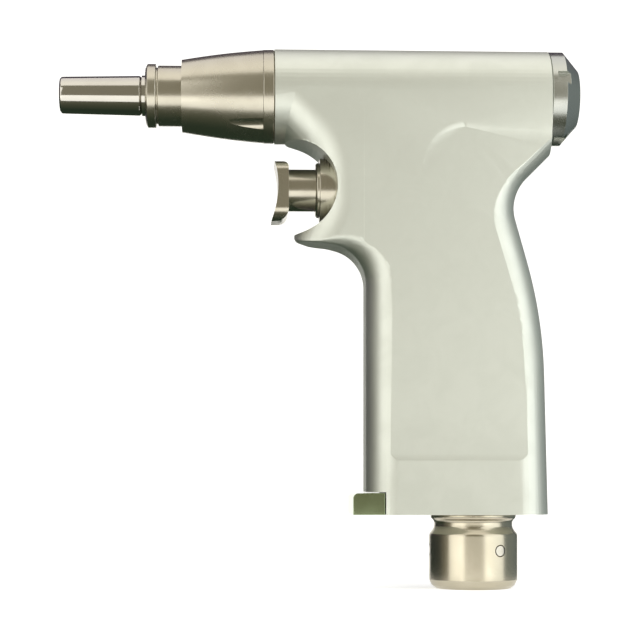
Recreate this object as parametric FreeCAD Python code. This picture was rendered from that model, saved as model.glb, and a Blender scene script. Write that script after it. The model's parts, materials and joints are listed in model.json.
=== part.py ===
import FreeCAD, Part
import math
import os
from FreeCAD import Vector

# Surgical power drill with a pistol grip and a hose connector.
# Millimetres. X runs along the barrel with the tool end at -X, Y across it, Z up.
# The origin is on the hose connector's axis, at its bottom rim.

# Clearances
RUNNING = 0.05
SLIDING = 0.15
AXIAL = 0.3

# Planetary gears
MODULE = 0.5
PRESSURE_ANGLE = 25.0
ADDENDUM = 0.8
DEDENDUM = 1.0
BACKLASH = 0.05
SUN_TEETH = 12
PLANET_TEETH = 15
RING_TEETH = SUN_TEETH + 2 * PLANET_TEETH
PLANETS = 3
RING_WALL = 1.25
RING_TIP_R = MODULE * (RING_TEETH / 2 - ADDENDUM)
RING_OUTER_R = MODULE * (RING_TEETH / 2 + DEDENDUM) + RING_WALL
RING_FRONT = -53.6
RING_REAR = -31.7
CARRIER_R = RING_TIP_R - 2 * AXIAL
OUTPUT_DISC = (-53.2, -50.8)
STAGE_2_GEARS = (-50.4, -43.2)
FIRST_DISC = (-42.6, -40.4)
STAGE_1_GEARS = (-40.0, -32.8)
PIN_R = 1.5
PILOT_R = 1.7
PILOT_LENGTH = 1.8

# Barrel and housing; the barrel is sized round the gears, and the handle is as wide as the barrel
BARREL_Z = 147.4
BARREL_WALL = 1.7
BARREL_BORE_R = RING_OUTER_R + RUNNING
BARREL_R = BARREL_BORE_R + BARREL_WALL
HALF_WIDTH = BARREL_R
HOUSING_FRONT = -59.9
HOUSING_REAR = 21.8

# Finger scoop, hook and grip
SCOOP_X = -55.5
SCOOP_R = 14.0
SCOOP_Z = BARREL_Z - BARREL_R - SCOOP_R
HOOK_THICKNESS = 2.1
HOOK_BOTTOM_Z = SCOOP_Z - SCOOP_R - HOOK_THICKNESS
HOOK_SLOPE_DROP = 2.3
HOOK_GRIP_R = 11.6
HOOK_TIP_EDGE_R = 1.2
BREAST_X = -49.7
BREAST_RISE_SHARE = 0.515
BREAST_DROP_SHARE = 0.457
BREAST_TOP_Z = SCOOP_Z + BREAST_RISE_SHARE * SCOOP_R
BREAST_LOW_Z = SCOOP_Z - BREAST_DROP_SHARE * SCOOP_R
BREAST_TOP_BEND_R = 14.0
BREAST_EDGE_R = 12.0
GRIP_FRONT = -32.85
GRIP_BOTTOM_Z = 22.3
GRIP_EDGE_R = 9.5
GRIP_REAR_BELLY = (20.27, 81.2, 137.0)
THUMB_WEB = (10.0, 117.3, 12.0)
WEB_EDGE_R = 7.0
REAR_UNDERCUT_Z = 129.1
GRIP_RECESS_DEPTH = 0.4
GRIP_RECESS_END_Z = 40.3
GRIP_RECESS_STEP = 2.0

# Palm relief on both sides of the rear of the barrel
RELIEF_TOP_Z = 138.2
RELIEF_FRONT_X = -16.7
RELIEF_LOW_Z = 101.0
RELIEF_FRONT_LOW_Z = 113.0
RELIEF_CORNER_R = 13.0
RELIEF_DEPTH = 1.5
RELIEF_WALL_RUN = 3.6
RELIEF_PIVOT = (-15.0, 117.2)
RELIEF_DIAGONAL = (0.81, -0.585)
RELIEF_TILT = 1.8
RELIEF_OUTSIDE = 0.5

# Nose
CONE_FRONT = -87.5
CONE_FRONT_R = 10.7
CONE_REAR = -63.4
CONE_REAR_R = BARREL_R - 0.3
CONE_BULGE = 0.45
CONE_TAIL_END = -53.8
CONE_MOUTH_END = -77.0
LOCK_RING_R = BARREL_R - 0.15
LOCK_RING_BEVEL = 0.35
FLUTE_CUTTER_R = 3.0
FLUTE_DEPTH = 0.95
FLUTE_ANGLE = -46.0

# Spindle, coupling and release collar
SPINDLE_R = 6.0
SPINDLE_FRONT = -99.4
TOOL_BORE_R = 2.3
TOOL_BORE_END = -93.8
STUB_R = 4.0
STUB_FRONT = -106.0
COUPLING_FRONT = -123.8
COUPLING_FRONT_R = 5.4
COUPLING_REAR_R = 5.9
COUPLING_EDGE = 0.5
COLLAR_WIRE_R = 0.55
COLLAR_SPRING_PLAY = 0.4
COLLAR_POCKET_R = SPINDLE_R + 2 * (COLLAR_WIRE_R + COLLAR_SPRING_PLAY)
COLLAR_GROOVE_WALL = 0.4
COLLAR_GROOVE_R = COLLAR_POCKET_R + COLLAR_GROOVE_WALL
COLLAR_WALL = 1.05
NECK_R = COLLAR_POCKET_R + COLLAR_WALL
CONE_MOUTH_R = NECK_R + SLIDING
FLANGE_FRONT = -98.3
FLANGE_REAR = -95.2
FLANGE_R = 9.4
FLANGE_FACE = 0.6
NECK_FRONT = -94.6
COLLAR_END = -83.0
COLLAR_POCKET_FRONT = -93.0
BALL_R = 1.25
BALL_X = -96.4
BALLS = 3
SEAT_RING_FRONT = -79.4
SEAT_RING_WIDTH = 1.5
COLLAR_TURNS = 5.0

# Bushes
FRONT_BUSH_FRONT = -76.5
FRONT_BUSH_REAR = -68.5
FRONT_BUSH_R = 9.0
REAR_BUSH_FRONT = -60.5
REAR_BUSH_REAR = -54.8
REAR_BUSH_R = 10.0

# Air motor
FRONT_PLATE = (-31.5, -28.0)
CYLINDER_REAR = 13.0
REAR_PLATE_END = 16.5
MOTOR_WALL = 2.75
MOTOR_BORE_R = RING_OUTER_R - MOTOR_WALL
ROTOR_OFFSET = 1.25
ROTOR_R = MOTOR_BORE_R - ROTOR_OFFSET - RUNNING
ROTOR_SHAFT_R = 3.0
VANES = 4
VANE_THICKNESS = 1.2
VANE_DEPTH = 4.2
BEARING_R = 5.5
SPACER_REAR = 17.5
SPACER_INNER_R = 9.0

# Rear cap
CAP_BAND_REAR = 26.3
CAP_REAR = 31.0
CAP_R = BARREL_R - 0.1
CAP_FACE_R = 8.6
CAP_NOTCHES = 4
CAP_NOTCH_ANGLE = 18.0
CAP_NOTCH_WIDTH = 3.6
CAP_NOTCH_FLOOR_R = 12.3
CAP_NOTCH_FRONT = 23.6
SEAL_X = 20.3
SEAL_WIRE_R = 0.6
SEAL_SIDES = 8

# Trigger
PLATE_RISE = 8.6
PLATE_DROP = 9.8
PLATE_TOP_Z = SCOOP_Z + PLATE_RISE
PLATE_LOW_Z = SCOOP_Z - PLATE_DROP
PLATE_HALF_WIDTH = 8.5
PLATE_BACK_X = -55.8
PLATE_TIP_X = -60.0
PLATE_LIP_X = -60.9
PLATE_BACK_EDGE_R = 1.8
PLATE_FRONT_EDGE_R = 0.6
PLATE_HOLLOW = 1.5
PLATE_CORNER_R = 4.0
PLUNGER_R = 6.25
PLUNGER_END = -31.0
TRIGGER_STROKE = 6.0
TRIGGER_BORE_R = 4.6
TRIGGER_BORE_END = -44.0
BUSHING_R = 9.5
BUSHING_FRONT = -46.5
BUSHING_LIP_R = 8.2
BUSHING_LIP_FRONT = -47.7
BUSHING_REAR = -24.0
TRIGGER_WIRE_R = 0.5
TRIGGER_COIL_R = 3.7
TRIGGER_TURNS = 6.0
COIL_STEPS = 10
WIRE_SIDES = 6
VALVE_SEAT_REAR = -19.0
VALVE_PORT_R = 2.0
STEM_R = 1.3
AIRWAY_R = 3.5

# Selector at the front of the handle's foot
NOTCH_BACK_X = -27.3
NOTCH_TOP_Z = 29.0
SELECTOR_FRONT_X = -37.0
SELECTOR_HALF_LENGTH = 13.0
SELECTOR_TRAVEL = 4.0
SELECTOR_CORNER_R = 1.5
TONGUE_BACK_X = -22.4
TONGUE_LOW_Z = 24.2
TONGUE_TOP_Z = 27.2
TONGUE_HALF_LENGTH = 8.0
DETENT_X = -25.0
DETENT_BALL_R = 1.2
DETENT_BORE_TOP_Z = 35.0

# Hose connector
SPIGOT_R = 13.27
SPIGOT_CHAMFER = 1.6
SPIGOT_SHOULDER_Z = 16.5
SPIGOT_GROOVE_R = 12.0
SPIGOT_GROOVE = (18.0, 20.4)
SPIGOT_STEM_R = 9.0
SPIGOT_STEM_TOP = 33.0
AIR_INLET_R = 9.0
AIR_INLET_DEPTH = 14.0
SPIGOT_PINS = 3
SPIGOT_PIN_R = 1.7
SPIGOT_PIN_Z = 11.6
SPIGOT_PIN_DEPTH = 2.4

os.makedirs("parts", exist_ok=True)


def save(name, shape):
    shape.exportStep("parts/" + name + ".step")


def rounded_wire(corners, y):
    """Closed wire in a plane of constant y; each corner is (x, z, radius)."""
    joins = []
    for i, (x, z, radius) in enumerate(corners):
        corner = Vector(x, y, z)
        last = corners[i - 1]
        following = corners[(i + 1) % len(corners)]
        back = (Vector(last[0], y, last[1]) - corner).normalize()
        ahead = (Vector(following[0], y, following[1]) - corner).normalize()
        half = back.getAngle(ahead) / 2
        reach = radius / math.tan(half)
        middle = (back + ahead).normalize() * (radius / math.sin(half) - radius)
        joins.append((corner + back * reach, corner + middle, corner + ahead * reach, radius))
    edges = []
    for i, (start, middle, end, radius) in enumerate(joins):
        if radius > 0:
            edges.append(Part.Arc(start, middle, end).toShape())
        edges.append(Part.makeLine(end, joins[(i + 1) % len(joins)][0]))
    return Part.Wire(edges)


def slab(corners, y0, y1):
    return Part.Face(rounded_wire(corners, y0)).extrude(Vector(0, y1 - y0, 0))


def turned(profile, origin, axis, radial):
    """Solid of revolution; the profile holds (distance along axis, radius) points."""
    points = [origin + axis * along + radial * r for along, r in profile]
    wire = Part.makePolygon(points + [points[0]])
    return Part.Face(wire).revolve(origin, axis, 360)


def barrel_turned(profile):
    return turned(profile, Vector(0, 0, BARREL_Z), Vector(1, 0, 0), Vector(0, 0, 1))


def upright_turned(profile):
    return turned(profile, Vector(0, 0, 0), Vector(0, 0, 1), Vector(1, 0, 0))


def rod_x(x0, x1, radius, z=BARREL_Z, y=0.0):
    return Part.makeCylinder(radius, x1 - x0, Vector(x0, y, z), Vector(1, 0, 0))


def sleeve_x(x0, x1, outer, inner, z=BARREL_Z):
    return rod_x(x0, x1, outer, z).cut(rod_x(x0, x1, inner, z))


def box(x0, x1, y0, y1, z0, z1):
    return Part.makeBox(x1 - x0, y1 - y0, z1 - z0, Vector(x0, y0, z0))


def about_barrel(shape, angle):
    turned_shape = shape.copy()
    turned_shape.rotate(Vector(0, 0, BARREL_Z), Vector(1, 0, 0), angle)
    return turned_shape


def spread(shape, count, start=0.0):
    """Copies of a shape spread evenly round the barrel axis."""
    return [about_barrel(shape, start + 360.0 * i / count) for i in range(count)]


def coil(x0, x1, z, mean_r, wire_r, turns):
    """Open helical spring along X, lofted through hexagonal sections of its wire."""
    rise = (x1 - x0 - 2 * wire_r) / turns
    sections = []
    for i in range(int(turns * COIL_STEPS) + 1):
        angle = 2 * math.pi * i / COIL_STEPS
        outward = Vector(0, math.cos(angle), math.sin(angle))
        centre = Vector(x0 + wire_r + rise * i / COIL_STEPS, 0, z) + outward * mean_r
        points = []
        for side in range(WIRE_SIDES):
            turn = 2 * math.pi * side / WIRE_SIDES
            points.append(centre + outward * wire_r * math.cos(turn) + Vector(wire_r * math.sin(turn), 0, 0))
        sections.append(Part.makePolygon(points + [points[0]]))
    return Part.makeLoft(sections, True, True)


def vary_fillet(shape, chosen, radius_at):
    """Rounds the chosen edges with a radius that depends on the place along them."""
    document = FreeCAD.newDocument()
    base = document.addObject("Part::Feature", "Base")
    base.Shape = shape
    fillet = document.addObject("Part::Fillet", "Fillet")
    fillet.Base = base
    edges = []
    for number, edge in enumerate(shape.Edges, 1):
        if chosen(edge):
            first = edge.valueAt(edge.FirstParameter)
            last = edge.valueAt(edge.LastParameter)
            edges.append((number, radius_at(first), radius_at(last)))
    fillet.Edges = edges
    document.recompute()
    rounded = fillet.Shape.copy()
    FreeCAD.closeDocument(document.Name)
    return rounded


def middle(edge):
    return edge.valueAt((edge.FirstParameter + edge.LastParameter) / 2)


def on_side(edge):
    ends = [edge.valueAt(edge.FirstParameter), edge.valueAt(edge.LastParameter)]
    on_plane = all(abs(abs(end.y) - HALF_WIDTH) < 1e-6 for end in ends)
    return on_plane and abs(ends[0].y - ends[1].y) < 1e-6


def grip_block():
    """Side profile of the handle, hook and lower barrel, before the scoop is cut."""
    breast_run = BARREL_Z - BREAST_TOP_Z
    undercut_run = BARREL_Z - REAR_UNDERCUT_Z
    hook_back_z = HOOK_BOTTOM_Z - HOOK_SLOPE_DROP
    corners = [
        (BREAST_X - breast_run, BARREL_Z, 0),
        (BREAST_X, BREAST_TOP_Z, BREAST_TOP_BEND_R),
        (BREAST_X, BREAST_LOW_Z, BREAST_EDGE_R),
        (SCOOP_X, HOOK_BOTTOM_Z, 0),
        (GRIP_FRONT, hook_back_z, HOOK_GRIP_R),
        (GRIP_FRONT, GRIP_BOTTOM_Z, 0),
        (HOUSING_REAR, GRIP_BOTTOM_Z, 0),
        GRIP_REAR_BELLY,
        THUMB_WEB,
        (HOUSING_REAR + undercut_run, BARREL_Z, 0),
    ]
    block = slab(corners, -HALF_WIDTH, HALF_WIDTH)
    rounding_start = SCOOP_X + BREAST_EDGE_R
    rounding_length = GRIP_FRONT - rounding_start

    def rear_radius(place):
        return WEB_EDGE_R if place.z > THUMB_WEB[1] else GRIP_EDGE_R

    def breast_radius(place):
        return BREAST_EDGE_R

    def hook_radius(place):
        share = max(0.0, min(1.0, (place.x - rounding_start) / rounding_length))
        return HOOK_TIP_EDGE_R + (GRIP_EDGE_R - HOOK_TIP_EDGE_R) * share

    def is_rear(edge):
        place = middle(edge)
        return on_side(edge) and place.x > 0 and GRIP_BOTTOM_Z < place.z < BARREL_Z

    def is_breast(edge):
        place = middle(edge)
        return on_side(edge) and place.x < BREAST_X + 1 and HOOK_BOTTOM_Z < place.z < BARREL_Z

    def is_hook(edge):
        place = middle(edge)
        low = GRIP_BOTTOM_Z < place.z < HOOK_BOTTOM_Z
        return on_side(edge) and SCOOP_X < place.x < GRIP_FRONT + 0.1 and low

    block = vary_fillet(block, is_rear, rear_radius)
    block = vary_fillet(block, is_breast, breast_radius)
    return vary_fillet(block, is_hook, hook_radius)


def both_sides(cutter):
    return [cutter, cutter.mirror(Vector(0, 0, 0), Vector(0, 1, 0))]


def grip_recess():
    """Thin wedge that sinks the side of the grip and ends in a sloped step."""
    profile = [
        Vector(GRIP_FRONT - 1, -HALF_WIDTH, BARREL_Z),
        Vector(GRIP_FRONT - 1, -HALF_WIDTH + GRIP_RECESS_DEPTH, GRIP_RECESS_END_Z),
        Vector(GRIP_FRONT - 1, -HALF_WIDTH, GRIP_RECESS_END_Z - GRIP_RECESS_STEP),
        Vector(GRIP_FRONT - 1, -HALF_WIDTH - 1, GRIP_RECESS_END_Z - GRIP_RECESS_STEP - 2),
        Vector(GRIP_FRONT - 1, -HALF_WIDTH - 1, BARREL_Z),
    ]
    face = Part.Face(Part.makePolygon(profile + [profile[0]]))
    return face.extrude(Vector(HOUSING_REAR - GRIP_FRONT + 2, 0, 0))


def relief_outline(grow, y):
    front = RELIEF_FRONT_X - grow
    top = RELIEF_TOP_Z + grow
    rear = 2 * HOUSING_REAR
    corners = [
        (rear, top, 0),
        (front, top, RELIEF_CORNER_R + grow),
        (front, RELIEF_FRONT_LOW_Z, RELIEF_CORNER_R + grow),
        (0.0, RELIEF_LOW_Z - grow, RELIEF_CORNER_R),
        (rear, RELIEF_LOW_Z - grow, 0),
    ]
    return rounded_wire(corners, y)


def palm_relief():
    """Shallow pocket with sloped walls and a floor that tilts in towards the rear."""
    floor_y = -HALF_WIDTH + RELIEF_DEPTH
    open_y = -HALF_WIDTH - RELIEF_OUTSIDE
    open_grow = RELIEF_OUTSIDE * RELIEF_WALL_RUN / RELIEF_DEPTH
    sections = [relief_outline(-RELIEF_WALL_RUN, floor_y), relief_outline(open_grow, open_y)]
    walls = Part.makeLoft(sections, True, True)
    reach = HOUSING_REAR - HOUSING_FRONT
    along = Vector(RELIEF_DIAGONAL[0], 0, RELIEF_DIAGONAL[1]) * reach
    inward = Vector(-RELIEF_DIAGONAL[1], 0, RELIEF_DIAGONAL[0]) * reach
    start = Vector(RELIEF_PIVOT[0], -HALF_WIDTH, RELIEF_PIVOT[1]) - along
    sink = Vector(0, reach * math.tan(math.radians(RELIEF_TILT)), 0)
    outside = Vector(0, -2 * RELIEF_OUTSIDE, 0)
    points = [start, start + inward + sink, start + inward + outside, start + outside]
    wedge = Part.Face(Part.makePolygon(points + [points[0]])).extrude(along * 2)
    return walls.common(wedge)


def body_housing():
    far = 40.0
    block = grip_block()
    block = block.cut(box(HOUSING_REAR, HOUSING_REAR + far, -far, far, 0, 2 * BARREL_Z))
    block = block.cut(box(HOUSING_FRONT - far, HOUSING_FRONT, -far, far, 0, 2 * BARREL_Z))
    barrel = rod_x(HOUSING_FRONT, HOUSING_REAR, BARREL_R)
    housing = block.fuse(barrel)
    cuts = [Part.makeCylinder(SCOOP_R, 2 * far, Vector(SCOOP_X, -far, SCOOP_Z), Vector(0, 1, 0))]
    cuts.append(box(HOUSING_FRONT - 1, SCOOP_X, -far, far, SCOOP_Z, SCOOP_Z + SCOOP_R))
    cuts += both_sides(grip_recess())
    cuts += both_sides(palm_relief())
    cuts.append(rod_x(HOUSING_FRONT, HOUSING_REAR, BARREL_BORE_R))
    cuts.append(rod_x(BUSHING_FRONT - 2, BUSHING_REAR, BUSHING_R, SCOOP_Z))
    cuts.append(rod_x(BUSHING_REAR - 1, AIRWAY_R, AIRWAY_R, SCOOP_Z))
    cuts.append(Part.makeCylinder(AIRWAY_R, BARREL_Z - GRIP_BOTTOM_Z, Vector(0, 0, GRIP_BOTTOM_Z)))
    cuts.append(Part.makeCylinder(SPIGOT_STEM_R, SPIGOT_STEM_TOP - GRIP_BOTTOM_Z, Vector(0, 0, GRIP_BOTTOM_Z)))
    cuts.append(box(GRIP_FRONT - 1, NOTCH_BACK_X, -far, far, 0, NOTCH_TOP_Z))
    slot_half = TONGUE_HALF_LENGTH + SELECTOR_TRAVEL + AXIAL
    cuts.append(
        box(
            NOTCH_BACK_X - 1, TONGUE_BACK_X + AXIAL, -slot_half, slot_half,
            TONGUE_LOW_Z - RUNNING, TONGUE_TOP_Z + RUNNING,
        )
    )
    bore_height = DETENT_BORE_TOP_Z - TONGUE_TOP_Z
    cuts.append(Part.makeCylinder(DETENT_BALL_R + RUNNING, bore_height, Vector(DETENT_X, 0, TONGUE_TOP_Z)))
    for cutter in cuts:
        housing = housing.cut(cutter)
    return housing


def nose_cone():
    middle_x = (CONE_FRONT + CONE_REAR) / 2
    middle_r = (CONE_FRONT_R + CONE_REAR_R) / 2 + CONE_BULGE
    outside = [
        Vector(CONE_FRONT, 0, BARREL_Z + CONE_FRONT_R),
        Vector(middle_x, 0, BARREL_Z + middle_r),
        Vector(CONE_REAR, 0, BARREL_Z + CONE_REAR_R),
    ]
    tail_r = BARREL_BORE_R - RUNNING
    inside = [
        (CONE_REAR, tail_r),
        (CONE_TAIL_END, tail_r),
        (CONE_TAIL_END, REAR_BUSH_R),
        (REAR_BUSH_FRONT, REAR_BUSH_R),
        (REAR_BUSH_FRONT, SPINDLE_R + 1),
        (FRONT_BUSH_REAR, SPINDLE_R + 1),
        (FRONT_BUSH_REAR, FRONT_BUSH_R),
        (CONE_MOUTH_END, FRONT_BUSH_R),
        (CONE_MOUTH_END, CONE_MOUTH_R),
        (CONE_FRONT, CONE_MOUTH_R),
    ]
    points = [outside[-1]] + [Vector(x, 0, BARREL_Z + r) for x, r in inside] + [outside[0]]
    wire = Part.Wire([Part.Arc(*outside).toShape()] + Part.makePolygon(points).Edges)
    cone = Part.Face(wire).revolve(Vector(0, 0, BARREL_Z), Vector(1, 0, 0), 360)
    offset = CONE_REAR_R - FLUTE_DEPTH + FLUTE_CUTTER_R
    cutter = rod_x(CONE_FRONT, CONE_REAR, FLUTE_CUTTER_R, BARREL_Z, -offset)
    for flute in spread(cutter, 2, -FLUTE_ANGLE):
        cone = cone.cut(flute)
    return cone


def nose_lock_ring():
    inner = BARREL_BORE_R
    bevel = LOCK_RING_BEVEL
    return barrel_turned([
        (CONE_REAR, inner), (CONE_REAR, LOCK_RING_R - bevel), (CONE_REAR + bevel, LOCK_RING_R),
        (HOUSING_FRONT - bevel, LOCK_RING_R), (HOUSING_FRONT, LOCK_RING_R - bevel), (HOUSING_FRONT, inner),
    ])


def gear_outline(teeth, internal, phase):
    """Involute outline, each flank as short chords, with a tooth or gap at the phase angle."""
    pitch_r = MODULE * teeth / 2
    base_r = pitch_r * math.cos(math.radians(PRESSURE_ANGLE))
    outer_r = pitch_r + MODULE * (DEDENDUM if internal else ADDENDUM)
    inner_r = pitch_r - MODULE * (ADDENDUM if internal else DEDENDUM)
    play = BACKLASH if internal else -BACKLASH
    half_tooth = math.pi / (2 * teeth) + play / (2 * pitch_r)

    def involute(radius):
        roll = math.sqrt(max(0.0, (radius / base_r) ** 2 - 1))
        return roll - math.atan(roll)

    flank = []
    start_r = max(inner_r, base_r)
    for i in range(3):
        radius = start_r + (outer_r - start_r) * i / 2
        flank.append((radius, half_tooth + involute(pitch_r) - involute(radius)))
    if inner_r < base_r:
        flank.insert(0, (inner_r, flank[0][1]))
    points = []
    for tooth in range(teeth):
        centre = math.radians(phase) + 2 * math.pi * tooth / teeth
        for radius, angle in flank:
            points.append((radius, centre - angle))
        for radius, angle in reversed(flank):
            points.append((radius, centre + angle))
    return points


def gear(span, teeth, internal=False, phase=90.0):
    """Gear blank on the barrel axis; the phase is measured from +Y towards +Z."""
    points = []
    for radius, angle in gear_outline(teeth, internal, phase):
        points.append(Vector(span[0], radius * math.cos(angle), BARREL_Z + radius * math.sin(angle)))
    face = Part.Face(Part.makePolygon(points + [points[0]]))
    return face.extrude(Vector(span[1] - span[0], 0, 0))


def planet_orbit():
    return MODULE * (SUN_TEETH + PLANET_TEETH) / 2


def ring_gear():
    blank = rod_x(RING_FRONT, RING_REAR, RING_OUTER_R)
    return blank.cut(gear((RING_FRONT, RING_REAR), RING_TEETH, internal=True))


def planet_gears(span):
    blank = gear(span, PLANET_TEETH).cut(rod_x(span[0], span[1], PIN_R + RUNNING))
    blank.translate(Vector(0, 0, planet_orbit()))
    return spread(blank, PLANETS)


def carrier_pins(disc_face, far_end):
    pin = rod_x(disc_face, far_end, PIN_R, BARREL_Z + planet_orbit())
    return Part.makeCompound(spread(pin, PLANETS))


def spindle():
    shaft = barrel_turned([
        (STUB_FRONT, 0), (STUB_FRONT, STUB_R), (SPINDLE_FRONT, STUB_R), (SPINDLE_FRONT, SPINDLE_R),
        (OUTPUT_DISC[0], SPINDLE_R), (OUTPUT_DISC[0], CARRIER_R), (OUTPUT_DISC[1], CARRIER_R),
        (OUTPUT_DISC[1], PILOT_R + RUNNING), (OUTPUT_DISC[1] - PILOT_LENGTH - AXIAL, PILOT_R + RUNNING),
        (OUTPUT_DISC[1] - PILOT_LENGTH - AXIAL, 0),
    ])
    shaft = shaft.cut(rod_x(STUB_FRONT, TOOL_BORE_END, TOOL_BORE_R))
    hole = Part.makeCylinder(BALL_R + RUNNING, SPINDLE_R, Vector(BALL_X, 0, BARREL_Z))
    for ball_hole in spread(hole, BALLS):
        shaft = shaft.cut(ball_hole)
    return shaft


def coupling_nose():
    return barrel_turned([
        (COUPLING_FRONT, TOOL_BORE_R), (COUPLING_FRONT, COUPLING_FRONT_R - COUPLING_EDGE),
        (COUPLING_FRONT + COUPLING_EDGE, COUPLING_FRONT_R), (SPINDLE_FRONT, COUPLING_REAR_R),
        (SPINDLE_FRONT, STUB_R), (STUB_FRONT, STUB_R), (STUB_FRONT, TOOL_BORE_R),
    ])


def locking_balls():
    ball = Part.makeSphere(BALL_R, Vector(BALL_X, 0, BARREL_Z + TOOL_BORE_R + BALL_R + RUNNING))
    return Part.makeCompound(spread(ball, BALLS))


def release_collar():
    bore = SPINDLE_R + RUNNING
    return barrel_turned([
        (FLANGE_FRONT, bore), (FLANGE_FRONT, FLANGE_R - 2 * FLANGE_FACE), (FLANGE_FRONT + FLANGE_FACE, FLANGE_R),
        (FLANGE_REAR, FLANGE_R), (FLANGE_REAR, COLLAR_GROOVE_R), (NECK_FRONT, COLLAR_GROOVE_R),
        (NECK_FRONT, NECK_R), (COLLAR_END, NECK_R), (COLLAR_END, COLLAR_POCKET_R),
        (COLLAR_POCKET_FRONT, COLLAR_POCKET_R), (COLLAR_POCKET_FRONT, bore),
    ])


def spring_seat_ring():
    outer = COLLAR_POCKET_R - SLIDING
    return sleeve_x(SEAT_RING_FRONT, SEAT_RING_FRONT + SEAT_RING_WIDTH, outer, SPINDLE_R)


def collar_spring():
    mean_r = (SPINDLE_R + COLLAR_POCKET_R) / 2
    return coil(COLLAR_POCKET_FRONT, SEAT_RING_FRONT, BARREL_Z, mean_r, COLLAR_WIRE_R, COLLAR_TURNS)


def first_carrier():
    disc = rod_x(FIRST_DISC[0], FIRST_DISC[1], CARRIER_R)
    sun = gear((OUTPUT_DISC[1] + AXIAL, FIRST_DISC[0]), SUN_TEETH)
    pilot = rod_x(OUTPUT_DISC[1] - PILOT_LENGTH, OUTPUT_DISC[1] + AXIAL, PILOT_R)
    bore = rod_x(FIRST_DISC[1] - PILOT_LENGTH - AXIAL, FIRST_DISC[1], PILOT_R + RUNNING)
    return disc.fuse(sun).fuse(pilot).cut(bore)


def rotor():
    core = rod_x(FRONT_PLATE[1] + RUNNING, CYLINDER_REAR - RUNNING, ROTOR_R)
    slot = box(
        FRONT_PLATE[1], CYLINDER_REAR, -VANE_THICKNESS / 2, VANE_THICKNESS / 2,
        BARREL_Z + ROTOR_R - VANE_DEPTH, BARREL_Z + ROTOR_R + 1,
    )
    for vane_slot in spread(slot, VANES):
        core = core.cut(vane_slot)
    shaft = rod_x(FRONT_PLATE[0] - AXIAL, REAR_PLATE_END - RUNNING, ROTOR_SHAFT_R - RUNNING)
    pinion = gear((FIRST_DISC[1] + AXIAL, FRONT_PLATE[0] - AXIAL), SUN_TEETH)
    pilot = rod_x(FIRST_DISC[1] - PILOT_LENGTH, FIRST_DISC[1] + AXIAL, PILOT_R)
    return core.fuse(shaft).fuse(pinion).fuse(pilot)


def motor_vanes():
    half = VANE_THICKNESS / 2 - RUNNING
    vane = box(
        FRONT_PLATE[1] + 2 * RUNNING, CYLINDER_REAR - 2 * RUNNING, -half, half,
        BARREL_Z + ROTOR_R - VANE_DEPTH + RUNNING, BARREL_Z + ROTOR_R - RUNNING,
    )
    return Part.makeCompound(spread(vane, VANES))


def motor_cylinder():
    sleeve = rod_x(FRONT_PLATE[1], CYLINDER_REAR, RING_OUTER_R)
    return sleeve.cut(rod_x(FRONT_PLATE[1], CYLINDER_REAR, MOTOR_BORE_R, BARREL_Z - ROTOR_OFFSET))


def motor_plate(x0, x1):
    return sleeve_x(x0, x1, RING_OUTER_R, BEARING_R)


def rotor_bearing(x0, x1):
    return sleeve_x(x0, x1, BEARING_R, ROTOR_SHAFT_R)


def rear_cap():
    spigot_r = BARREL_BORE_R - RUNNING
    groove_r = spigot_r - 2 * SEAL_WIRE_R
    cap = barrel_turned([
        (SPACER_REAR, 0), (SPACER_REAR, spigot_r), (SEAL_X - SEAL_WIRE_R, spigot_r),
        (SEAL_X - SEAL_WIRE_R, groove_r), (SEAL_X + SEAL_WIRE_R, groove_r), (SEAL_X + SEAL_WIRE_R, spigot_r),
        (HOUSING_REAR, spigot_r), (HOUSING_REAR, CAP_R), (CAP_BAND_REAR, CAP_R), (CAP_REAR, CAP_FACE_R),
        (CAP_REAR, 0),
    ])
    half = CAP_NOTCH_WIDTH / 2
    notch = box(CAP_NOTCH_FRONT, CAP_REAR, -CAP_R - 1, -CAP_NOTCH_FLOOR_R, BARREL_Z - half, BARREL_Z + half)
    for cutter in spread(notch, CAP_NOTCHES, -CAP_NOTCH_ANGLE):
        cap = cap.cut(cutter)
    return cap


def rear_cap_seal():
    ring_r = BARREL_BORE_R - SEAL_WIRE_R - RUNNING
    profile = []
    for i in range(SEAL_SIDES):
        angle = 2 * math.pi * (i + 0.5) / SEAL_SIDES
        profile.append((SEAL_X + SEAL_WIRE_R * math.cos(angle), ring_r + SEAL_WIRE_R * math.sin(angle)))
    return barrel_turned(profile)


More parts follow.
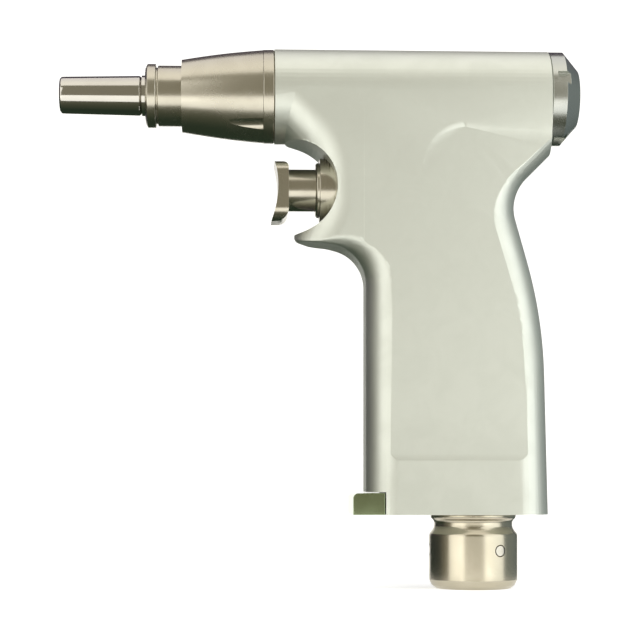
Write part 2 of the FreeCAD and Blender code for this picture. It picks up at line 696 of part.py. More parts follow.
def trigger():
    """Finger plate with a leaning, hollow front, on a plunger bored for the spring."""
    plate_corners = [
        (PLATE_BACK_X, PLATE_TOP_Z, PLATE_BACK_EDGE_R),
        (PLATE_BACK_X, PLATE_LOW_Z, PLATE_BACK_EDGE_R),
        (PLATE_LIP_X, PLATE_LOW_Z, PLATE_FRONT_EDGE_R),
        (PLATE_TIP_X, PLATE_TOP_Z, PLATE_FRONT_EDGE_R),
    ]
    plate = slab(plate_corners, -PLATE_HALF_WIDTH, PLATE_HALF_WIDTH)
    half_height = (PLATE_TOP_Z - PLATE_LOW_Z) / 2
    centre_z = (PLATE_TOP_Z + PLATE_LOW_Z) / 2
    hollow_r = (half_height ** 2 + PLATE_HOLLOW ** 2) / (2 * PLATE_HOLLOW)
    hollow_x = (PLATE_TIP_X + PLATE_LIP_X) / 2 + PLATE_HOLLOW - hollow_r
    start = Vector(hollow_x, -PLATE_HALF_WIDTH - 1, centre_z)
    hollow = Part.makeCylinder(hollow_r, 2 * PLATE_HALF_WIDTH + 2, start, Vector(0, 1, 0))
    plate = plate.cut(hollow)
    outline = box(
        PLATE_LIP_X, PLATE_BACK_X, -PLATE_HALF_WIDTH, PLATE_HALF_WIDTH, PLATE_LOW_Z, PLATE_TOP_Z
    )
    along_x = [e for e in outline.Edges if abs(e.tangentAt(e.FirstParameter).x) > 0.99]
    plate = plate.common(outline.makeFillet(PLATE_CORNER_R, along_x))
    plunger = rod_x(PLATE_BACK_X - 1, PLUNGER_END, PLUNGER_R, SCOOP_Z)
    plunger = plunger.cut(rod_x(TRIGGER_BORE_END, PLUNGER_END, TRIGGER_BORE_R, SCOOP_Z))
    return plate.fuse(plunger)


def valve_stem():
    return rod_x(TRIGGER_BORE_END, BUSHING_REAR - TRIGGER_STROKE, STEM_R, SCOOP_Z)


def trigger_bushing():
    inner = PLUNGER_R + RUNNING
    profile = [
        (BUSHING_LIP_FRONT, inner), (BUSHING_LIP_FRONT, BUSHING_LIP_R), (BUSHING_FRONT, BUSHING_LIP_R),
        (BUSHING_FRONT, BUSHING_R), (BUSHING_REAR, BUSHING_R), (BUSHING_REAR, inner),
    ]
    return turned(profile, Vector(0, 0, SCOOP_Z), Vector(1, 0, 0), Vector(0, 0, 1))


def valve_seat():
    seat = rod_x(BUSHING_REAR - 0.6, BUSHING_REAR, PLUNGER_R, SCOOP_Z)
    neck = rod_x(BUSHING_REAR, VALVE_SEAT_REAR, AIRWAY_R, SCOOP_Z)
    return seat.fuse(neck).cut(rod_x(BUSHING_REAR - 1, VALVE_SEAT_REAR, VALVE_PORT_R, SCOOP_Z))


def trigger_spring():
    return coil(TRIGGER_BORE_END, BUSHING_REAR - 0.6, SCOOP_Z, TRIGGER_COIL_R, TRIGGER_WIRE_R, TRIGGER_TURNS)


def selector_slide():
    corners = [
        (SELECTOR_FRONT_X, GRIP_BOTTOM_Z, 0.8),
        (SELECTOR_FRONT_X, NOTCH_TOP_Z - AXIAL, SELECTOR_CORNER_R),
        (NOTCH_BACK_X - AXIAL, NOTCH_TOP_Z - AXIAL, 0.3),
        (NOTCH_BACK_X - AXIAL, GRIP_BOTTOM_Z, 0.3),
    ]
    block = slab(corners, -SELECTOR_HALF_LENGTH, SELECTOR_HALF_LENGTH)
    tongue = box(
        NOTCH_BACK_X - 1, TONGUE_BACK_X, -TONGUE_HALF_LENGTH, TONGUE_HALF_LENGTH, TONGUE_LOW_Z, TONGUE_TOP_Z
    )
    return block.fuse(tongue)


def detent_ball():
    return Part.makeSphere(DETENT_BALL_R, Vector(DETENT_X, 0, TONGUE_TOP_Z + DETENT_BALL_R + RUNNING))


def detent_plug():
    low = TONGUE_TOP_Z + 2 * DETENT_BALL_R + 2 * RUNNING
    return Part.makeCylinder(DETENT_BALL_R + RUNNING, DETENT_BORE_TOP_Z - low, Vector(DETENT_X, 0, low))


def hose_spigot():
    body = upright_turned([
        (0, AIR_INLET_R), (0, SPIGOT_R - SPIGOT_CHAMFER), (SPIGOT_CHAMFER * 1.6, SPIGOT_R),
        (SPIGOT_SHOULDER_Z, SPIGOT_R), (SPIGOT_GROOVE[0], SPIGOT_GROOVE_R), (SPIGOT_GROOVE[1], SPIGOT_GROOVE_R),
        (GRIP_BOTTOM_Z, SPIGOT_R), (GRIP_BOTTOM_Z, SPIGOT_STEM_R), (SPIGOT_STEM_TOP, SPIGOT_STEM_R),
        (SPIGOT_STEM_TOP, AIRWAY_R), (AIR_INLET_DEPTH, AIRWAY_R), (AIR_INLET_DEPTH, AIR_INLET_R),
    ])
    for pin in pin_blanks():
        body = body.cut(pin)
    return body


def pin_blanks():
    start = SPIGOT_R - SPIGOT_PIN_DEPTH
    pins = []
    for i in range(SPIGOT_PINS):
        angle = math.radians(-60.0 + 360.0 * i / SPIGOT_PINS)
        direction = Vector(math.cos(angle), math.sin(angle), 0)
        base = direction * start + Vector(0, 0, SPIGOT_PIN_Z)
        pins.append(Part.makeCylinder(SPIGOT_PIN_R, SPIGOT_PIN_DEPTH + 1, base, direction))
    return pins


def spigot_pins():
    skin = Part.makeCylinder(SPIGOT_R, SPIGOT_SHOULDER_Z)
    return Part.makeCompound([pin.common(skin) for pin in pin_blanks()])


save("body_housing", body_housing())
save("nose_cone", nose_cone())
save("nose_lock_ring", nose_lock_ring())
save("rear_cap", rear_cap())
save("rear_cap_seal", rear_cap_seal())
save("spindle_bush_front", sleeve_x(FRONT_BUSH_FRONT, FRONT_BUSH_REAR, FRONT_BUSH_R, SPINDLE_R + RUNNING))
save("spindle_bush_rear", sleeve_x(REAR_BUSH_FRONT, REAR_BUSH_REAR, REAR_BUSH_R, SPINDLE_R + RUNNING))
save("ring_gear", ring_gear())
save("motor_front_plate", motor_plate(FRONT_PLATE[0], FRONT_PLATE[1]))
save("motor_cylinder", motor_cylinder())
save("motor_rear_plate", motor_plate(CYLINDER_REAR, REAR_PLATE_END))
save("rotor_bearing_front", rotor_bearing(FRONT_PLATE[0], FRONT_PLATE[1]))
save("rotor_bearing_rear", rotor_bearing(CYLINDER_REAR, REAR_PLATE_END))
save("motor_spacer", sleeve_x(REAR_PLATE_END, SPACER_REAR, RING_OUTER_R, SPACER_INNER_R))
save("spindle", spindle())
save("coupling_nose", coupling_nose())
save("locking_balls", locking_balls())
save("spring_seat_ring", spring_seat_ring())
save("output_planet_pins", carrier_pins(OUTPUT_DISC[1], STAGE_2_GEARS[1]))
save("release_collar", release_collar())
save("collar_spring", collar_spring())
save("first_carrier", first_carrier())
save("input_planet_pins", carrier_pins(FIRST_DISC[1], STAGE_1_GEARS[1]))
save("rotor", rotor())
save("motor_vanes", motor_vanes())
for number, planet in enumerate(planet_gears(STAGE_2_GEARS), 1):
    save("output_planet_" + str(number), planet)
for number, planet in enumerate(planet_gears(STAGE_1_GEARS), 1):
    save("input_planet_" + str(number), planet)
save("trigger", trigger())
save("valve_stem", valve_stem())
save("trigger_bushing", trigger_bushing())
save("valve_seat", valve_seat())
save("trigger_spring", trigger_spring())
save("selector_slide", selector_slide())
save("detent_ball", detent_ball())
save("detent_plug", detent_plug())
save("hose_spigot", hose_spigot())
save("spigot_pins", spigot_pins())
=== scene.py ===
# %% [markdown]
# # A surgical power drill, dressed for its picture
# The drill is an air-driven handpiece with a pistol grip. Its solids come ready made, with every joint in
# place, and this lesson gives them their looks: turned metal with fine tool marks, a bead-blasted housing,
# rounded edges and soft studio light. Lengths are in metres, X runs along the barrel with the tool end at
# -X, and Z is up.

# %% Load the solids
import json
import math

import bpy
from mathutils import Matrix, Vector

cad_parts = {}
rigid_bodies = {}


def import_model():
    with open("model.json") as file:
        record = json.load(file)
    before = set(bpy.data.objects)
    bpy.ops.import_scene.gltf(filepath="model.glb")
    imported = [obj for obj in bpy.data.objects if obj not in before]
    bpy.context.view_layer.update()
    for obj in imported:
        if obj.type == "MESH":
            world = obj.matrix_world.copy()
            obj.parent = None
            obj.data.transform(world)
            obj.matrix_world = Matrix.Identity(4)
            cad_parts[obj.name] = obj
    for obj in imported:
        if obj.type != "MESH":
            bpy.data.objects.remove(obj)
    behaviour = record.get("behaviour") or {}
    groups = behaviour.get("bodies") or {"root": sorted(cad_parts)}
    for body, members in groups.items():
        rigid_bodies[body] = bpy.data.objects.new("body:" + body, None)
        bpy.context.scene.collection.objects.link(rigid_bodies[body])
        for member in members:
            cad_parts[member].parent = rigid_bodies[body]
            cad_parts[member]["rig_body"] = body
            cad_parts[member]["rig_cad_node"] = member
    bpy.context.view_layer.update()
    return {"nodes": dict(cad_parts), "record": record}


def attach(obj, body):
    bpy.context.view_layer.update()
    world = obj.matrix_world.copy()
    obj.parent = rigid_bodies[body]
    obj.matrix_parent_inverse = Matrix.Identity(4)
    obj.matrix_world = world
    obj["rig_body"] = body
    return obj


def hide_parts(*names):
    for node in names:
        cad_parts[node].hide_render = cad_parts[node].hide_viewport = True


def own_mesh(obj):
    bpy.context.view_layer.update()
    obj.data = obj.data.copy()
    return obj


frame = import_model()

# %% [markdown]
# ## Small helpers
# Each piece is modelled as by hand: a primitive is added, shaped in edit mode and finished with modifiers.
# A fresh primitive has to be the only thing selected, because the loaded solids start out selected and an
# operator acts on everything that is. At the end a piece's place goes into its mesh, so that its object
# sits at the origin.

# %% Selecting, finishing and cutting
MM = 0.001
BARREL_Z = 0.1474
SCOOP_Z = 0.1194
ALONG = Vector((1, 0, 0))
UP = Vector((0, 0, 1))
MERGE_DISTANCE = 0.001 * MM


def choose(piece):
    bpy.ops.object.select_all(action="DESELECT")
    piece.select_set(True)
    bpy.context.view_layer.objects.active = piece


def settle(piece):
    choose(piece)
    bpy.ops.object.transform_apply(location=True, rotation=True, scale=True)
    return piece


def apply_modifier(piece, kind, **settings):
    choose(piece)
    modifier = piece.modifiers.new(kind.lower(), kind)
    for name, value in settings.items():
        setattr(modifier, name, value)
    bpy.ops.object.modifier_apply(modifier=modifier.name)


def cut_away(piece, cutter, operation="DIFFERENCE"):
    apply_modifier(piece, "BOOLEAN", object=cutter, operation=operation, solver="EXACT")
    bpy.data.objects.remove(cutter)


print("helpers for selecting, finishing and cutting ready")

# %% [markdown]
# ## Broken edges
# No machined edge is left sharp. A maker breaks it with a file or a chamfer tool, and the small round that
# is left catches the light. A Bevel modifier rounds every edge sharper than an angle, and weighted normals
# keep the large flats flat in reflections.

# %% Bevels and smooth shading
def bevel_sharp_edges(piece, width, angle, segments=3):
    """Rounds the edges sharper than the angle in degrees. The width is in millimetres."""
    apply_modifier(
        piece, "BEVEL", width=width * MM, segments=segments, limit_method="ANGLE",
        angle_limit=math.radians(angle), use_clamp_overlap=True,
    )


def shade_by_angle(piece, angle):
    """Shades the piece smooth up to the angle in degrees, with weighted normals."""
    choose(piece)
    bpy.ops.object.shade_smooth_by_angle(angle=math.radians(angle))
    apply_modifier(piece, "WEIGHTED_NORMAL", keep_sharp=True, weight=100)


def break_edges(piece, width, angle=30, segments=3):
    bevel_sharp_edges(piece, width, angle, segments)
    shade_by_angle(piece, angle)


print("bevels and smooth shading ready")

# %% [markdown]
# ## Turning on the lathe
# Most of this drill is turned: the coupling tube, the collar, the nose cone, the rings, the rear cap and
# the hose connector. A lathe sweeps one profile round an axis, and Blender's Spin operator does the same.
# The profile is drawn as a chain of extruded points, spun a whole turn and closed. Cylinders put together
# would leave seams where the radius changes, which a spun profile doesn't.

# %% A lathe made from extrude and spin
def turn(name, profile, centre, axis, side, steps=128):
    """Turns a closed profile of (distance along the axis, radius) pairs in millimetres."""
    points = [centre + axis * along * MM + side * radius * MM for along, radius in profile]
    bpy.ops.object.select_all(action="DESELECT")
    bpy.ops.mesh.primitive_plane_add(size=MM, location=points[0])
    piece = bpy.context.object
    piece.name = name
    bpy.ops.object.mode_set(mode="EDIT")
    bpy.ops.mesh.merge(type="CENTER")
    for start, end in zip(points, points[1:] + points[:1]):
        bpy.ops.mesh.extrude_region_move(TRANSFORM_OT_translate={"value": end - start})
    bpy.ops.mesh.select_all(action="SELECT")
    bpy.ops.mesh.remove_doubles(threshold=MERGE_DISTANCE)
    bpy.ops.mesh.spin(steps=steps, angle=2 * math.pi, center=centre, axis=axis, use_auto_merge=True)
    bpy.ops.mesh.select_all(action="SELECT")
    bpy.ops.mesh.remove_doubles(threshold=MERGE_DISTANCE)
    bpy.ops.mesh.normals_make_consistent(inside=False)
    bpy.ops.object.mode_set(mode="OBJECT")
    return settle(piece)


def turn_on_barrel(name, profile):
    return turn(name, profile, UP * BARREL_Z, ALONG, UP)


print("lathe ready")

# %% [markdown]
# ## Cutters and blocks
# Rods drill holes and mill flutes, and boxes stand for milled bars and for the slots of the rear cap. A box
# can be turned before use, as work is turned on a dividing head. Chosen edges get a larger round than the
# rest.

# %% Rods, blocks and rounded edges
def rod(centre, axis, radius, length, vertices=64):
    """A round cutter about a centre point."""
    bpy.ops.object.select_all(action="DESELECT")
    bpy.ops.mesh.primitive_cylinder_add(
        vertices=vertices, radius=radius * MM, depth=length * MM, location=centre,
        rotation=Vector(axis).to_track_quat("Z", "Y").to_euler(),
    )
    return settle(bpy.context.object)


def block(lo, hi, turn_x=0.0, about=(0, 0, 0)):
    """A box between two corners in millimetres, turned about X round a point if asked."""
    lo = Vector(lo) * MM
    hi = Vector(hi) * MM
    bpy.ops.object.select_all(action="DESELECT")
    bpy.ops.mesh.primitive_cube_add(size=1, location=(lo + hi) / 2, scale=hi - lo)
    piece = settle(bpy.context.object)
    if turn_x:
        bpy.context.scene.cursor.location = Vector(about) * MM
        bpy.ops.object.origin_set(type="ORIGIN_CURSOR")
        piece.rotation_euler.x = math.radians(turn_x)
        settle(piece)
        bpy.context.scene.cursor.location = (0, 0, 0)
    return piece


def round_edges(piece, chosen, radius, segments):
    """Bevels the edges whose two ends the chooser accepts."""
    choose(piece)
    bpy.ops.object.mode_set(mode="EDIT")
    bpy.ops.mesh.select_mode(type="EDGE")
    bpy.ops.mesh.select_all(action="DESELECT")
    bpy.ops.object.mode_set(mode="OBJECT")
    corners = piece.data.vertices
    for edge in piece.data.edges:
        edge.select = chosen(corners[edge.vertices[0]].co, corners[edge.vertices[1]].co)
    bpy.ops.object.mode_set(mode="EDIT")
    bpy.ops.mesh.bevel(offset=radius * MM, segments=segments, affect="EDGES")
    bpy.ops.mesh.select_mode(type="VERT")
    bpy.ops.object.mode_set(mode="OBJECT")


print("cutters and blocks ready")

# %% [markdown]
# ## The coupling tube
# The slim tube at the front takes the shank of a drill bit. It is a single turned and polished piece with a
# slight taper towards its mouth, a rounded rim and a countersunk bore, so one profile holds it all.

# %% Coupling tube
TUBE_FRONT = -123.8
TUBE_REAR = -99.4
TUBE_FRONT_R = 5.4
TUBE_REAR_R = 5.88
SHANK_BORE_R = 2.3
COUNTERSINK = 0.8
STUB_BORE_R = 4.0
STUB_BORE_FRONT = -106.0
coupling_tube = turn_on_barrel("coupling_tube", [
    (TUBE_FRONT, SHANK_BORE_R + COUNTERSINK), (TUBE_FRONT, TUBE_FRONT_R - 0.55),
    (TUBE_FRONT + 0.5, TUBE_FRONT_R), (TUBE_FRONT + 1.7, TUBE_FRONT_R + 0.06),
    (TUBE_REAR - 0.7, TUBE_REAR_R), (TUBE_REAR, TUBE_REAR_R - 0.58), (TUBE_REAR, STUB_BORE_R),
    (STUB_BORE_FRONT, STUB_BORE_R), (STUB_BORE_FRONT, SHANK_BORE_R), (TUBE_FRONT + COUNTERSINK, SHANK_BORE_R),
])
break_edges(coupling_tube, 0.16, 12)
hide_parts("coupling_nose")
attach(coupling_tube, "tool_spindle")
print("coupling tube faces:", len(coupling_tube.data.polygons))

# %% [markdown]
# ## The release collar
# Fingers pull the flange back to let the tool go. The flange has a chamfered face and an outer rim with a
# slightly rounded edge, and a narrow relief parts it from the plain neck that slides into the nose cone.

# %% Release collar
FLANGE_FRONT = -98.3
FLANGE_REAR = -95.2
FLANGE_R = 9.4
FLANGE_CHAMFER = 0.6
RELIEF_WIDTH = 0.6
RELIEF_R = 8.3
NECK_REAR = -83.0
NECK_R = 8.95
COLLAR_BORE_R = 6.05
POCKET_FRONT = -93.0
POCKET_R = 7.9
collar = turn_on_barrel("collar_sleeve", [
    (FLANGE_FRONT, COLLAR_BORE_R), (FLANGE_FRONT, FLANGE_R - 2 * FLANGE_CHAMFER),
    (FLANGE_FRONT + FLANGE_CHAMFER, FLANGE_R), (FLANGE_REAR, FLANGE_R), (FLANGE_REAR, RELIEF_R),
    (FLANGE_REAR + RELIEF_WIDTH, RELIEF_R), (FLANGE_REAR + RELIEF_WIDTH, NECK_R), (NECK_REAR, NECK_R),
    (NECK_REAR, POCKET_R), (POCKET_FRONT, POCKET_R), (POCKET_FRONT, COLLAR_BORE_R),
])
break_edges(collar, 0.22)
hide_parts("release_collar")
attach(collar, "coupling_collar")
print("collar faces:", len(collar.data.polygons))

# %% [markdown]
# ## The nose cone
# The cone carries the spindle's bearings and screws into the housing. Its outside swells a little between
# its ends, so its profile is a shallow arc. Two flutes for a spanner run along it, milled by a round cutter
# that leaves a pointed track where the cone gets slimmer. A Boolean with a long rod cuts the same track.

# %% Nose cone
CONE_STEPS = 12
CONE_FRONT = -87.5
CONE_REAR = -63.4
CONE_FRONT_R = 10.7
CONE_REAR_R = 13.7
CONE_SWELL = 0.3
TAIL_REAR = -53.8
TAIL_R = 12.2
REAR_SEAT_FRONT = -60.5
REAR_SEAT_R = 10.0
FRONT_SEAT_REAR = -68.5
FRONT_SEAT_R = 9.0
CORE_R = 7.0
MOUTH_REAR = -77.0
MOUTH_R = 9.1
cone_profile = []
for step in range(CONE_STEPS + 1):
    share = step / CONE_STEPS
    swell = CONE_SWELL * math.sin(math.pi * share)
    along = CONE_FRONT + (CONE_REAR - CONE_FRONT) * share
    cone_profile.append((along, CONE_FRONT_R + (CONE_REAR_R - CONE_FRONT_R) * share + swell))
cone_profile += [
    (CONE_REAR, TAIL_R), (TAIL_REAR, TAIL_R), (TAIL_REAR, REAR_SEAT_R), (REAR_SEAT_FRONT, REAR_SEAT_R),
    (REAR_SEAT_FRONT, CORE_R), (FRONT_SEAT_REAR, CORE_R), (FRONT_SEAT_REAR, FRONT_SEAT_R),
    (MOUTH_REAR, FRONT_SEAT_R), (MOUTH_REAR, MOUTH_R), (CONE_FRONT, MOUTH_R),
]
nose = turn_on_barrel("nose_shell", cone_profile)
FLUTE_R = 3.0
FLUTE_DEPTH = 0.95
FLUTE_MIDDLE = -75.4
FLUTE_LENGTH = 24.05
FLUTE_REACH = CONE_REAR_R - FLUTE_DEPTH + FLUTE_R
for degrees in (-46.0, 134.0):
    aside = math.radians(degrees)
    across = Vector((0, -math.cos(aside), math.sin(aside))) * FLUTE_REACH
    centre = (ALONG * FLUTE_MIDDLE + across) * MM + UP * BARREL_Z
    cut_away(nose, rod(centre, ALONG, FLUTE_R, FLUTE_LENGTH, 96))
break_edges(nose, 0.18)
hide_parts("nose_cone")
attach(nose, "handpiece")
print("nose cone faces:", len(nose.data.polygons))

# %% [markdown]
# ## The lock ring
# A plain ring locks the cone against the housing. It stands a hair lower than the housing, and its bevelled
# edges give the two thin dark joints that show how the nose comes apart.

# %% Lock ring
RING_FRONT = -63.38
RING_REAR = -59.92
RING_R = 13.85
RING_BORE_R = 12.25
ring = turn_on_barrel("nose_ring", [
    (RING_FRONT, RING_BORE_R), (RING_FRONT, RING_R - 0.2), (RING_FRONT + 0.18, RING_R - 0.05),
    (RING_REAR - 0.38, RING_R), (RING_REAR, RING_R - 0.4), (RING_REAR, RING_BORE_R),
])
break_edges(ring, 0.08)
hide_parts("nose_lock_ring")
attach(ring, "handpiece")
print("ring faces:", len(ring.data.polygons))

# %% [markdown]
# ## The rear cap
# The cap closes the motor's end of the barrel. It has a plain band, a wide chamfer and a flat face, with
# four slots at its rim for a pin spanner. The slots are cut with boxes, turned round the barrel as on a
# dividing head.

# %% Rear cap
CAP_FRONT = 17.5
CAP_SHOULDER = 21.85
CAP_BAND_REAR = 26.3
CAP_REAR = 31.0
CAP_R = 13.9
CAP_FACE_R = 8.6
SPIGOT_R = 12.2
SEAL_GROOVE_FRONT = 19.7
SEAL_GROOVE_REAR = 20.9
SEAL_GROOVE_R = 11.0
cap = turn_on_barrel("end_cap", [
    (CAP_FRONT, 0), (CAP_FRONT, SPIGOT_R), (SEAL_GROOVE_FRONT, SPIGOT_R), (SEAL_GROOVE_FRONT, SEAL_GROOVE_R),
    (SEAL_GROOVE_REAR, SEAL_GROOVE_R), (SEAL_GROOVE_REAR, SPIGOT_R), (CAP_SHOULDER, SPIGOT_R),
    (CAP_SHOULDER, CAP_R - 0.4), (CAP_SHOULDER + 0.35, CAP_R), (CAP_BAND_REAR, CAP_R), (CAP_REAR, CAP_FACE_R),
    (CAP_REAR, 0),
])
CAP_SLOTS = 4
SLOT_FRONT = 23.6
SLOT_FLOOR_R = 12.3
SLOT_WIDTH = 3.6
SLOT_TURN = 18
barrel_height = BARREL_Z / MM
for index in range(CAP_SLOTS):
    slot_box = block(
        (SLOT_FRONT, -CAP_R - 1.1, barrel_height - SLOT_WIDTH / 2),
        (CAP_REAR + 0.5, -SLOT_FLOOR_R, barrel_height + SLOT_WIDTH / 2),
        -SLOT_TURN - 360 / CAP_SLOTS * index, (0, 0, barrel_height),
    )
    cut_away(cap, slot_box)
break_edges(cap, 0.2)
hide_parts("rear_cap")
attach(cap, "handpiece")
print("cap faces:", len(cap.data.polygons))

# %% [markdown]
# ## The hose connector
# The air hose plugs onto this turned foot. Its groove takes the lock of the hose coupling, three pins lie
# flush in its side, and its rim is chamfered. The pins are turned down with the connector on the real one,
# so here they are rods trimmed by the connector's own skin, each in a hole a trace wider, which leaves a
# fine ring round it.

# %% Hose connector and its pins
FOOT_R = 13.27
FOOT_CHAMFER_TOP = 2.6
GROOVE_R = 11.75
TOP_BAND_R = 12.85
TOP_BAND_END = 22.28
STEM_R = 9.0
STEM_TOP = 33.0
INLET_DEPTH = 14.0
AIRWAY_R = 3.5
FOOT_STEPS = 320
PIN_DIRECTIONS = (-60, 60, 180)
PIN_HEIGHT = 11.6
PIN_MIDDLE_R = 12.1
PIN_DEPTH = 2.4
PIN_R = 1.5
PIN_HOLE_R = 1.85


def pin_rod(degrees, radius, trim):
    outwards = Vector((math.cos(math.radians(degrees)), math.sin(math.radians(degrees)), 0))
    centre = outwards * (PIN_MIDDLE_R + trim) * MM + UP * PIN_HEIGHT * MM
    return rod(centre, outwards, radius, PIN_DEPTH + 2 * trim, 48)


connector = turn("connector_foot", [
    (0, STEM_R), (0, 11.2), (1.0, 12.55), (FOOT_CHAMFER_TOP, FOOT_R), (15.9, FOOT_R), (16.5, 13.1),
    (17.4, 12.4), (18.1, 11.95), (18.7, GROOVE_R), (19.9, GROOVE_R), (20.5, 12.0), (21.1, 12.6),
    (21.6, TOP_BAND_R), (TOP_BAND_END, TOP_BAND_R), (TOP_BAND_END, STEM_R), (STEM_TOP, STEM_R),
    (STEM_TOP, AIRWAY_R), (INLET_DEPTH, AIRWAY_R), (INLET_DEPTH, STEM_R),
], Vector((0, 0, 0)), UP, ALONG, FOOT_STEPS)
bevel_sharp_edges(connector, 0.12, 18)
pins = None
for degrees in PIN_DIRECTIONS:
    cut_away(connector, pin_rod(degrees, PIN_HOLE_R, 0.6))
    pin = pin_rod(degrees, PIN_R, 0.3)
    if pins is None:
        pins = pin
    else:
        pins.select_set(True)
        bpy.context.view_layer.objects.active = pins
        bpy.ops.object.join()
pins.name = "flush_pins"
skin = rod(UP * PIN_HEIGHT * MM, UP, FOOT_R - 0.02, 12, FOOT_STEPS)
cut_away(pins, skin, "INTERSECT")
shade_by_angle(connector, 30)
shade_by_angle(pins, 30)
for piece, node, finish in (
    (connector, "hose_spigot", "satin_steel"),
    (pins, "spigot_pins", "polished_steel"),
):
    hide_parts(node)
    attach(piece, "handpiece")
print("connector faces:", len(connector.data.polygons), "pins:", len(pins.data.polygons))

# %% [markdown]
# ## The trigger
# The index finger pulls a hollowed plate on a thick round plunger. The plate starts as a box whose front
# leans back at its top. Its upper and lower back edges are rounded, a second box with rounded corners
# trims its outline, and a big rod hollows its face. The plunger is joined on with a Boolean union, so that
# the two are one piece of metal.

# %% Trigger
PLATE_LOW = Vector((-60.9, -8.5, 109.6))
PLATE_HIGH = Vector((-55.8, 8.5, 127.4))
PLATE_LEAN = 0.9
PLATE_CORNER_R = 4
UPPER_BACK_R = 2.0
LOWER_BACK_R = 3.4
HOLLOW_DEPTH = 1.5
PLUNGER_FRONT = -57.4
PLUNGER_REAR = -31.0
PLUNGER_R = 6.25
SPRING_BORE_FRONT = -44.0
SPRING_BORE_R = 4.6
finger_plate = block(PLATE_LOW, PLATE_HIGH)
for corner in finger_plate.data.vertices:
    if corner.co.x < -60 * MM and corner.co.z > 120 * MM:
        corner.co.x += PLATE_LEAN * MM


def upper_back_edge(a, b):
    return abs(a.y - b.y) > 1 * MM and a.x > -56 * MM and a.z > SCOOP_Z


def lower_back_edge(a, b):
    return abs(a.y - b.y) > 16 * MM and a.x > -56 * MM and a.z < 110 * MM


round_edges(finger_plate, upper_back_edge, UPPER_BACK_R, 10)
round_edges(finger_plate, lower_back_edge, LOWER_BACK_R, 12)
plate_outline = block(PLATE_LOW, PLATE_HIGH)
round_edges(plate_outline, lambda a, b: abs(a.x - b.x) > 1 * MM, PLATE_CORNER_R, 12)
cut_away(finger_plate, plate_outline, "INTERSECT")
lip = Vector((PLATE_LOW.x, 0, PLATE_LOW.z))
tip = Vector((PLATE_LOW.x + PLATE_LEAN, 0, PLATE_HIGH.z))
half_chord = (tip - lip).length / 2
hollow_r = (half_chord ** 2 + HOLLOW_DEPTH ** 2) / (2 * HOLLOW_DEPTH)
inwards = Vector((tip.z - lip.z, 0, lip.x - tip.x)).normalized()
hollow_centre = (lip + tip) / 2 - inwards * (hollow_r - HOLLOW_DEPTH)
cut_away(finger_plate, rod(hollow_centre * MM, (0, 1, 0), hollow_r, 30, 256))
plunger = turn("plunger", [
    (PLUNGER_FRONT, 0), (PLUNGER_FRONT, PLUNGER_R), (PLUNGER_REAR, PLUNGER_R), (PLUNGER_REAR, SPRING_BORE_R),
    (SPRING_BORE_FRONT, SPRING_BORE_R), (SPRING_BORE_FRONT, 0),
], UP * SCOOP_Z, ALONG, UP)
cut_away(finger_plate, plunger, "UNION")
finger_plate.name = "finger_plate"
break_edges(finger_plate, 0.5, 35, 4)
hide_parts("trigger")
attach(finger_plate, "trigger_unit")
print("trigger faces:", len(finger_plate.data.polygons))

# %% [markdown]
# ## The trigger's bushing
# A flanged bushing guides the plunger. Its lip stands out of the scoop and has a small radius that catches
# the light.

# %% Trigger bushing
BUSHING_FRONT = -47.7
BUSHING_REAR = -24.0
BUSHING_R = 9.5
BUSHING_BORE_R = 6.3
LIP_REAR = -46.5
LIP_R = 8.2
LIP_CHAMFER = 0.5
bushing = turn("plunger_bushing", [
    (BUSHING_FRONT, BUSHING_BORE_R), (BUSHING_FRONT, LIP_R - LIP_CHAMFER),
    (BUSHING_FRONT + LIP_CHAMFER, LIP_R), (LIP_REAR, LIP_R), (LIP_REAR, BUSHING_R),
    (BUSHING_REAR, BUSHING_R), (BUSHING_REAR, BUSHING_BORE_R),
], UP * SCOOP_Z, ALONG, UP)
break_edges(bushing, 0.15)
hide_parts("trigger_bushing")
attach(bushing, "handpiece")
print("bushing faces:", len(bushing.data.polygons))

# %% [markdown]
# ## The selector
# A block at the foot of the grip slides across it to choose forward, reverse or off. It is milled from bar,
# so it is a box with its upper front edge rounded, its other edges broken, and a tongue behind that runs in
# a slot.

# %% Selector block
SELECTOR_LOW = (-37.0, -13.0, 22.3)
SELECTOR_HIGH = (-27.6, 13.0, 28.7)
SELECTOR_CORNER_R = 1.5
TONGUE_LOW = (-28.3, -8.0, 24.2)
TONGUE_HIGH = (-22.4, 8.0, 27.2)


def upper_front_edge(a, b):
    return abs(a.y - b.y) > 1 * MM and a.x < -36 * MM and a.z > 28 * MM


selector = block(SELECTOR_LOW, SELECTOR_HIGH)
round_edges(selector, upper_front_edge, SELECTOR_CORNER_R, 8)
cut_away(selector, block(TONGUE_LOW, TONGUE_HIGH), "UNION")
selector.name = "selector_block"
break_edges(selector, 0.18)
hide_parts("selector_slide")
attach(selector, "selector")
print("selector faces:", len(selector.data.polygons))

# %% [markdown]
# ## The housing
# Barrel, handle, finger scoop and hook are one casting, blended by hand and bead-blasted. Its blends change
# their radius along each edge, which the solid already has exactly, so the piece starts as a copy of that
# mesh. The copy's loose triangles are merged first. Then it is shaded smooth by angle, with weighted
# normals that keep the flats flat.

